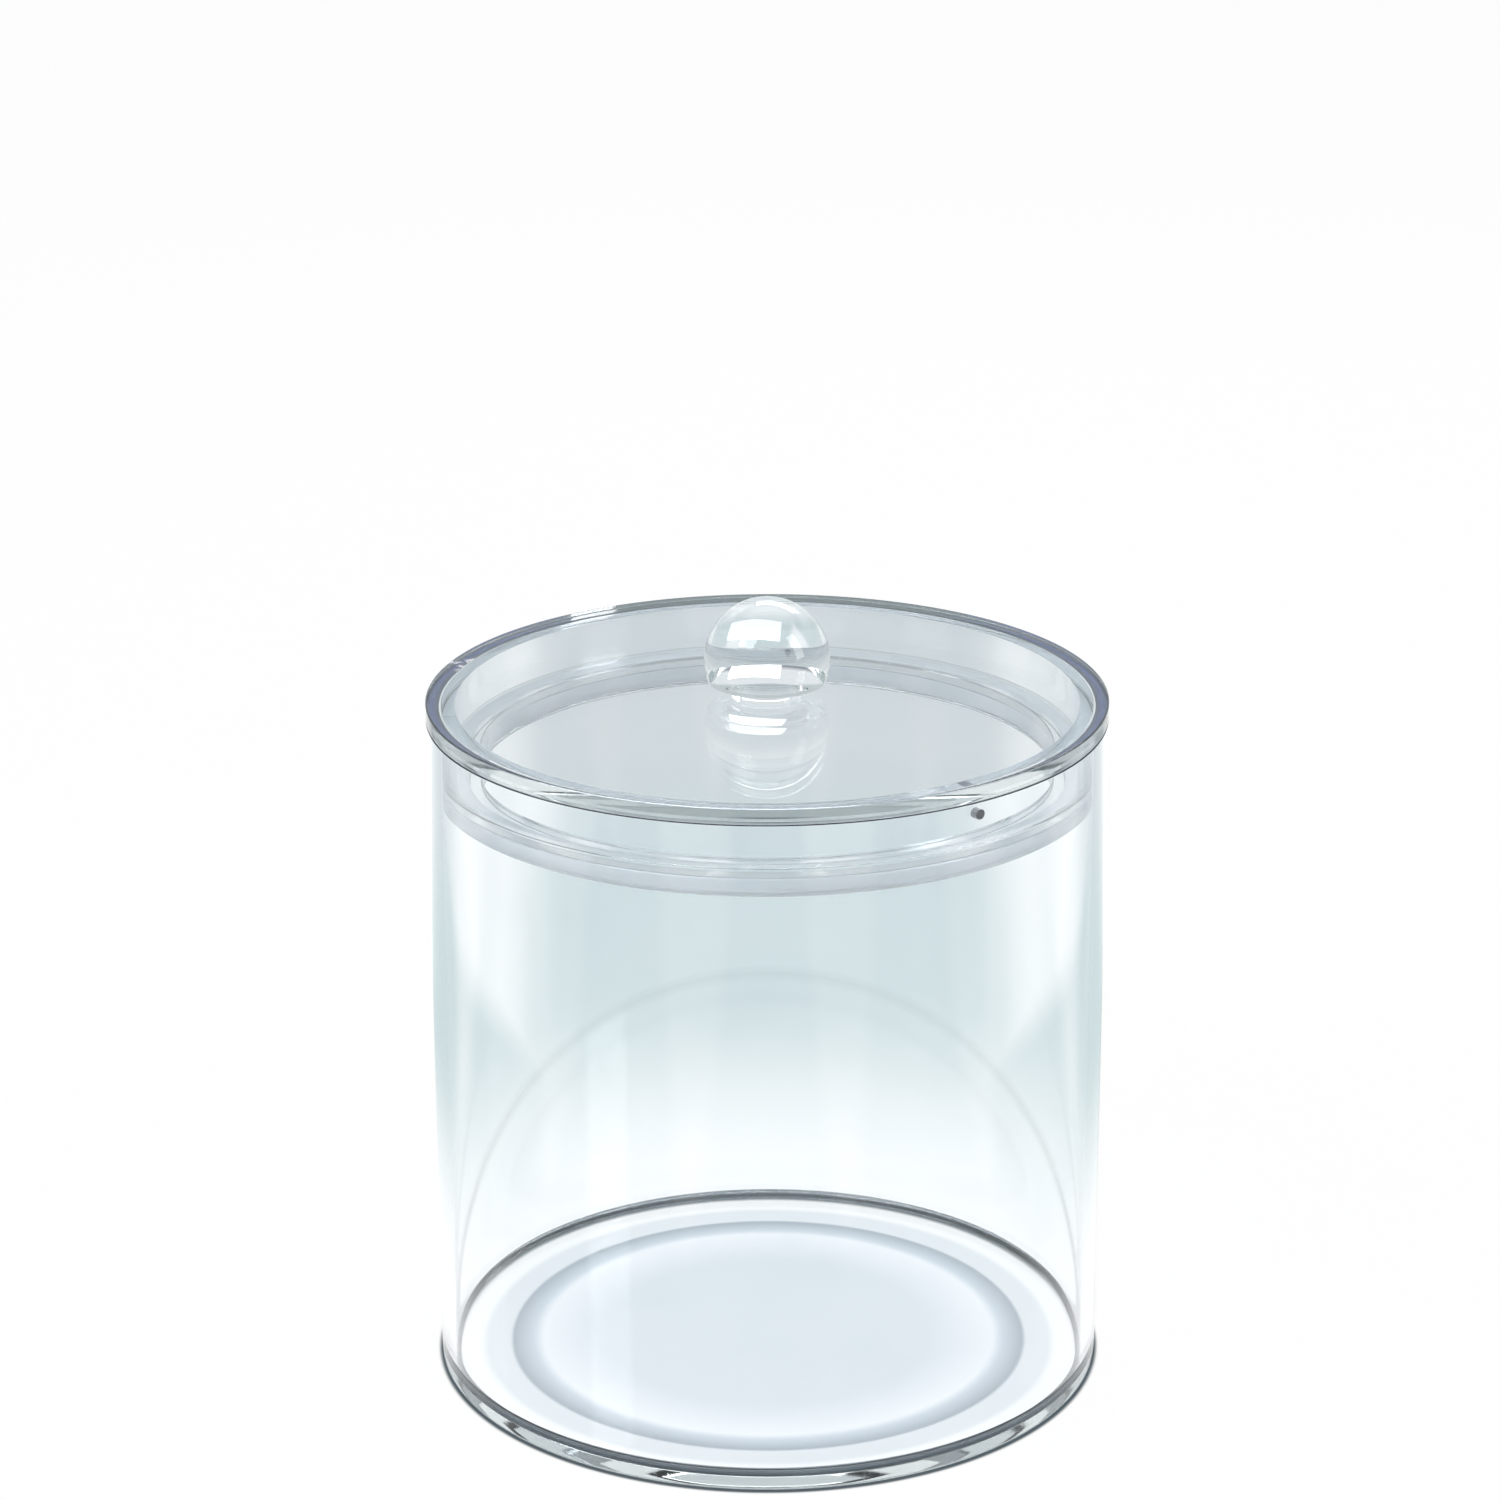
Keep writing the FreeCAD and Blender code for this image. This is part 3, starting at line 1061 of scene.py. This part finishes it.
@dataclass
class Knob:
    """The ball knob, turned in one piece with its neck and foot."""

    diameter: float = 37 * MM
    underside: float = 4.2 * MM
    neck_diameter: float = 15.4 * MM
    foot_diameter: float = 20.8 * MM
    foot_thickness: float = 1.2 * MM
    cove: float = 0.8 * MM
    cove_steps: int = 4
    ease: float = 0.4 * MM
    ease_steps: int = 3

    def build(self) -> None:
        """A ball cut flat below, with the neck and foot drawn down from the cut."""
        low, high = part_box("knob")
        radius = self.diameter / 2
        centre = high.z - radius
        flat = low.z + self.underside
        shoulder = low.z + self.foot_thickness
        deselect()
        bpy.ops.mesh.primitive_uv_sphere_add(
            segments=AROUND // 2, ring_count=AROUND // 4, radius=radius, location=(0, 0, centre))
        knob = bpy.context.object
        knob.name = knob.data.name = "ball_knob"
        bpy.ops.object.transform_apply(location=True, rotation=False, scale=False)
        edit(knob)
        bpy.ops.mesh.select_all(action="SELECT")
        bpy.ops.mesh.bisect(plane_co=(0, 0, flat), plane_no=(0, 0, 1), use_fill=True, clear_inner=True)
        select_faces(knob, lambda face: face.normal.z < -LEVEL)
        rim = math.sqrt(radius ** 2 - (centre - flat) ** 2)
        neck = self.neck_diameter / 2
        reach = self.foot_diameter / 2
        bpy.ops.mesh.inset(thickness=rim - neck, depth=0)
        self.draw(flat - shoulder, 1)
        self.draw(0, reach / neck)
        self.draw(shoulder - low.z + BOND, 1)
        bpy.ops.mesh.inset(thickness=reach / 2, depth=0)
        bpy.ops.mesh.poke()
        deselect()
        round_ring(knob, neck, flat, self.cove, self.cove_steps)
        round_ring(knob, neck, shoulder, self.cove, self.cove_steps)
        round_ring(knob, rim, flat, self.ease, self.ease_steps)
        round_ring(knob, reach, shoulder, self.ease, self.ease_steps)
        dress(knob, [KNOB_FINISH], "lid", ["knob"])

    @staticmethod
    def draw(down: float, wider: float) -> None:
        """Extrudes the selected face downwards and widens it.

        Args:
            down: how far it is drawn down.
            wider: how many times wider it becomes.
        """
        bpy.ops.mesh.extrude_region_move(TRANSFORM_OT_translate={"value": (0, 0, -down)})
        bpy.ops.transform.resize(value=(wider, wider, 1), center_override=(0, 0, 0))


# The studio


@dataclass(frozen=True)
class FloorPaint(Finish):
    """White to the camera and open from below. Clear pieces show painted light on it: grey spokes of painted
    shade, and a painted shadow and caustic pattern under the jar's foot.
    """

    paint: Colour = (0.88, 0.885, 0.89)
    roughness: float = 0.9
    shine: float = 0.1
    straight_white: float = 0.955
    glass_share: float = 0.9
    glow: float = 1.15
    spokes: int = 8
    spoke_half: float = 0.084
    spoke_widens: float = 0.067
    spoke_edge_shares: tuple[float, float] = (1.15, 0.8)
    spoke_start: tuple[float, float] = (0.12, 0.3)
    # Painted shade of the spokes and of the far floor, seen only by clear pieces.
    greys: Steps = ((0.42, (0.575, 0.67, 0.68)), (0.55, (0.635, 0.68, 0.705)))
    outfield: Colour = (0.645, 0.685, 0.705)
    outfield_start: tuple[float, float] = (0.68, 0.95)
    ring_reach: float = 1.25
    # Painted shadow and painted caustic light: grey centre, pale and dark bands, a white band and the dark
    # contact shadow under the foot, then white.
    shadow_ring_shares: Steps = (
        (0.5, (0.68, 0.73, 0.78)), (0.69, (0.9, 0.93, 0.96)), (0.72, (0.56, 0.63, 0.70)),
        (0.782, (0.25, 0.31, 0.37)), (0.792, (0.76, 0.80, 0.83)), (0.86, (0.76, 0.80, 0.83)),
        (0.885, WHITE), (0.945, WHITE), (0.96, (0.06, 0.085, 0.10)), (1.003, (0.06, 0.085, 0.10)),
        (1.012, WHITE))

    def build(self, tree: Tree) -> None:
        """Paint that keeps the shadow, under painted light that glows for the camera and the clear pieces.

        Args:
            tree: the material's nodes.
        """
        shader = tree.nodes["Principled BSDF"]
        fill(tree, shader.inputs["Base Color"], self.paint)
        shader.inputs["Roughness"].default_value = self.roughness
        shader.inputs["Specular IOR Level"].default_value = self.shine
        foot_shadow_rings = self.foot_shadow_rings(tree)
        # Painted light for clear pieces: spokes and foot bands, glowing.
        light = mix_colours(tree, 1, self.painted_spokes(tree), foot_shadow_rings, "MULTIPLY")
        through = add(tree, "Emission", {"Color": light, "Strength": self.glow})
        # The camera sees the painted foot bands too: white beyond the foot, the dark contact shadow at its
        # edge.
        white = add(tree, "Emission", {"Color": foot_shadow_rings})
        camera = add(tree, "LightPath", {}).outputs["Is Camera Ray"]
        from_below = add(tree, "NewGeometry", {}).outputs["Backfacing"]
        soft = mix_shaders(tree, seen_through(tree, self.glass_share), shader, through)
        above = mix_shaders(tree, calculate(tree, "MULTIPLY", camera, self.straight_white), soft, white)
        whole = mix_shaders(tree, from_below, above, add(tree, "BsdfTransparent", {}))
        fill(tree, tree.nodes["Material Output"].inputs["Surface"], whole.outputs["Shader"])

    def painted_spokes(self, tree: Tree) -> Socket:
        """Painted light for clear pieces: white with grey spokes of painted shade that run out from the jar
        into a plain grey.

        Args:
            tree: the floor's nodes.

        Returns:
            The colour's socket.
        """
        place = place_on(tree)
        axes = add(tree, "SeparateXYZ", {"Vector": place}).outputs
        away = calculate(tree, "LENGTH", place, kind="VectorMath")
        turn = calculate(tree, "ARCTAN2", axes["X"], axes["Y"])
        fold = calculate(tree, "PINGPONG", turn, math.pi / self.spokes)
        aside = calculate(tree, "MULTIPLY", calculate(tree, "SINE", fold), away)
        half = calculate(tree, "MULTIPLY_ADD", away, self.spoke_widens, self.spoke_half)
        across = spread(tree, calculate(tree, "DIVIDE", aside, half), *self.spoke_edge_shares)
        share = calculate(tree, "MULTIPLY", across, spread(tree, away, *self.spoke_start))
        near = mix_colours(tree, share, WHITE, ramp(tree, away, self.greys))
        return mix_colours(tree, spread(tree, away, *self.outfield_start), near, self.outfield)

    def foot_shadow_rings(self, tree: Tree) -> Socket:
        """Painted shadow and caustic bands round the jar's foot on the floor, in shares of its radius.

        Args:
            tree: the floor's nodes.

        Returns:
            The colour's socket.
        """
        away = calculate(tree, "LENGTH", place_on(tree), kind="VectorMath")
        share = calculate(tree, "DIVIDE", away, self.ring_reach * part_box("jar_base")[1].x)
        return ramp(tree, share, [(place / self.ring_reach, colour) for place, colour in self.shadow_ring_shares])


@dataclass(frozen=True)
class SoftLamp:
    """A soft rectangular lamp aimed at the jar."""

    name: str
    place: Place
    wide: float
    high: float
    power: float
    aim: Place = (0, 0, 0.1)

    def build(self) -> None:
        """Hangs the lamp."""
        turn = (Vector(self.aim) - Vector(self.place)).to_track_quat("-Z", "Y").to_euler()
        bpy.ops.object.light_add(type="AREA", location=self.place, rotation=turn)
        lamp = bpy.context.object
        lamp.name = f"{self.name}_lamp"
        lamp.data.shape = "RECTANGLE"
        lamp.data.size = self.wide
        lamp.data.size_y = self.high
        lamp.data.energy = self.power
        lamp.visible_camera = False


@dataclass
class Studio:
    """A white floor, a white surround, soft lamps and the camera."""

    lens: float = 108.72
    sensor: float = 36
    eye: Place = (0, -1.26057, 0.62382)
    tilt: Place = (71.030, 0.162, 0.174)
    sight: float = 60
    clear_bounces: int = 40
    mirror_bounces: int = 32
    floor_size: float = 16
    floor_drop: float = 0.3 * MM
    lamps: tuple[SoftLamp, ...] = (
        SoftLamp("key", (-0.9, -0.8, 1.5), 0.9, 0.9, 17),
        SoftLamp("fill", (1.3, -0.6, 1.0), 0.5, 1.2, 8),
        SoftLamp("back", (0.3, 1.4, 1.3), 1.2, 0.5, 9))
    ambient: float = 0.45
    ambient_colour: Colour = (0.96, 0.98, 1)
    low_sky: Colour = (0.56, 0.605, 0.625)
    mid_sky: Colour = (0.85, 0.88, 0.91)
    high_sky: Colour = (0.10, 0.12, 0.16)
    soft_top: Colour = (0.95, 0.95, 0.95)

    def build(self) -> None:
        """Sets up the floor, the surround, the lamps and the camera."""
        scene = bpy.context.scene
        scene.view_settings.view_transform = "Standard"
        scene.cycles.max_bounces = self.clear_bounces
        scene.cycles.transmission_bounces = self.clear_bounces
        scene.cycles.glossy_bounces = self.mirror_bounces
        scene.cycles.transparent_max_bounces = self.mirror_bounces
        self.floor()
        self.surround()
        for lamp in self.lamps:
            lamp.build()
        self.camera()

    def camera(self) -> None:
        """Places the camera at the photograph's angle."""
        bpy.ops.object.camera_add(location=self.eye, rotation=tuple(map(math.radians, self.tilt)))
        camera = bpy.context.object
        camera.name = "photo_camera"
        camera.data.sensor_width = self.sensor
        camera.data.lens = self.lens
        camera.data.clip_end = self.sight
        bpy.context.scene.camera = camera

    def floor(self) -> None:
        """A broad floor, just under the jar's foot."""
        bpy.ops.mesh.primitive_plane_add(size=self.floor_size, location=(0, 0, -self.floor_drop))
        floor = bpy.context.object
        floor.name = "studio_floor"
        floor.data.materials.append(FloorPaint("studio_floor").material())

    def surround(self) -> None:
        """A surround, white to the camera. Clear pieces show it grey, pale, dark and lit from overhead."""
        world = bpy.data.worlds.new("studio")
        bpy.context.scene.world = world
        world.use_nodes = True
        tree = world.node_tree
        ambient = tree.nodes["Background"]
        fill(tree, ambient.inputs["Color"], self.ambient_colour)
        ambient.inputs["Strength"].default_value = self.ambient
        direction = add(tree, "TexCoord", {}).outputs["Generated"]
        height = add(tree, "SeparateXYZ", {"Vector": direction}).outputs["Z"]
        sky = ramp(tree, height, (
            (0.03, WHITE), (0.2, self.low_sky), (0.36, self.low_sky), (0.40, self.mid_sky),
            (0.58, self.mid_sky), (0.64, self.high_sky), (0.74, self.high_sky), (0.86, self.soft_top)))
        shown = add(tree, "Background", {"Color": sky})
        white = add(tree, "Background", {"Color": WHITE})
        camera = add(tree, "LightPath", {}).outputs["Is Camera Ray"]
        indirect = mix_shaders(tree, seen_through(tree, 1), ambient, shown)
        whole = mix_shaders(tree, camera, indirect, white)
        fill(tree, tree.nodes["World Output"].inputs["Surface"], whole.outputs["Shader"])


def main() -> None:
    """Builds the studio and the object, piece by piece."""
    logging.basicConfig(level=logging.INFO, format="%(message)s")
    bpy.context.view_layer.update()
    Studio().build()
    for assembly in (Jar(), Lid(), Seal(), Knob()):
        assembly.build()


if __name__ == "__main__":
    main()
